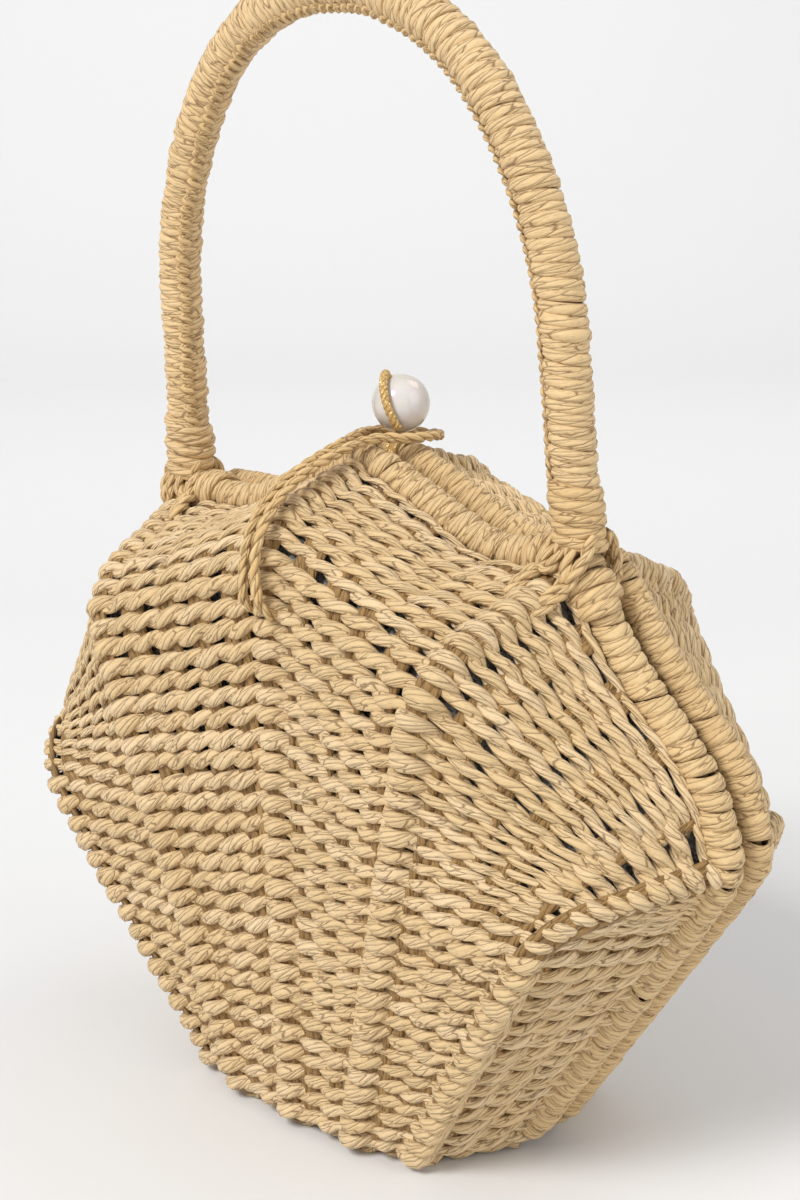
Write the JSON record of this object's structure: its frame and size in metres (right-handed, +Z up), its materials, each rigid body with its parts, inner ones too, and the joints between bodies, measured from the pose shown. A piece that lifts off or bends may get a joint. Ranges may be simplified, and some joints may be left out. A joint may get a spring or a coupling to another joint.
{
  "type": "clutch purse",
  "caption": "Woven straw clutch handbag with hinged faceted basket halves, an arched wrapped top handle and a cord loop that closes over a pearl button.",
  "frame": {"origin": "on the ground under the middle of the purse, midway between its two halves", "axes": "+X across the width, +Y towards the back half, +Z up to the top of the handle"},
  "size_m": [0.2454, 0.1112, 0.3138],
  "materials": {
    "straw_weave": "matte twisted paper straw",
    "straw_wrap": "matte wound paper straw",
    "straw_handle": "matte wound paper straw",
    "straw_cord": "matte two-ply paper straw cord",
    "spring_wire": "drawn wire, painted",
    "cane": "bare cane",
    "lining_cloth": "woven cotton, fused stiff",
    "gusset_cloth": "woven cotton",
    "pearl": "pearl lacquer",
    "gold_cord": "cord with metallised thread"
  },
  "bodies": {
    "front_half": {"front_bar_wrap_left": "straw_wrap", "front_bar_wrap_right": "straw_wrap", "front_lining": "lining_cloth", "front_rib_centre": "spring_wire", "front_rib_inner_left": "spring_wire", "front_rib_inner_right": "spring_wire", "front_rib_outer_left": "spring_wire", "front_rib_outer_right": "spring_wire", "front_rim_wire": "spring_wire", "front_rim_wrap": "straw_wrap", "front_weave": "straw_weave", "gusset_left": "gusset_cloth", "gusset_right": "gusset_cloth", "handle_collar_left": "straw_handle", "handle_collar_right": "straw_handle", "handle_core": "cane", "handle_tie_left": "straw_wrap", "handle_tie_right": "straw_wrap", "handle_wrap": "straw_handle", "hinge_lashing_centre": "straw_wrap", "hinge_lashing_left": "straw_wrap", "hinge_lashing_right": "straw_wrap", "loop_knot": "straw_cord"},
    "back_half": {"back_bar_wrap_left": "straw_wrap", "back_bar_wrap_right": "straw_wrap", "back_lining": "lining_cloth", "back_rib_centre": "spring_wire", "back_rib_inner_left": "spring_wire", "back_rib_inner_right": "spring_wire", "back_rib_outer_left": "spring_wire", "back_rib_outer_right": "spring_wire", "back_rim_wire": "spring_wire", "back_rim_wrap": "straw_wrap", "back_weave": "straw_weave", "pearl_knot": "gold_cord"},
    "pearl": {"pearl_button": "pearl", "pearl_cord": "gold_cord"},
    "loop": {"closure_loop": "straw_cord"}
  },
  "joints": [
    {"name": "shell_hinge", "type": "hinge", "parent": "front_half", "child": "back_half", "pos_m": [0, 0.0065, 0.006], "axis": [-1, 0, 0], "range_deg": [0, 40], "deforming": ["gusset_left", "gusset_right"]},
    {"name": "loop_swing", "type": "hinge", "parent": "front_half", "child": "loop", "pos_m": [0.0008, -0.0505, 0.1505], "axis": [1, 0, 0], "range_deg": [0, 185], "deforming": ["closure_loop"]},
    {"name": "pearl_tilt", "type": "hinge", "parent": "back_half", "child": "pearl", "pos_m": [0, 0.0065, 0.18525], "axis": [1, 0, 0], "range_deg": [-12, 12]}
  ]
}
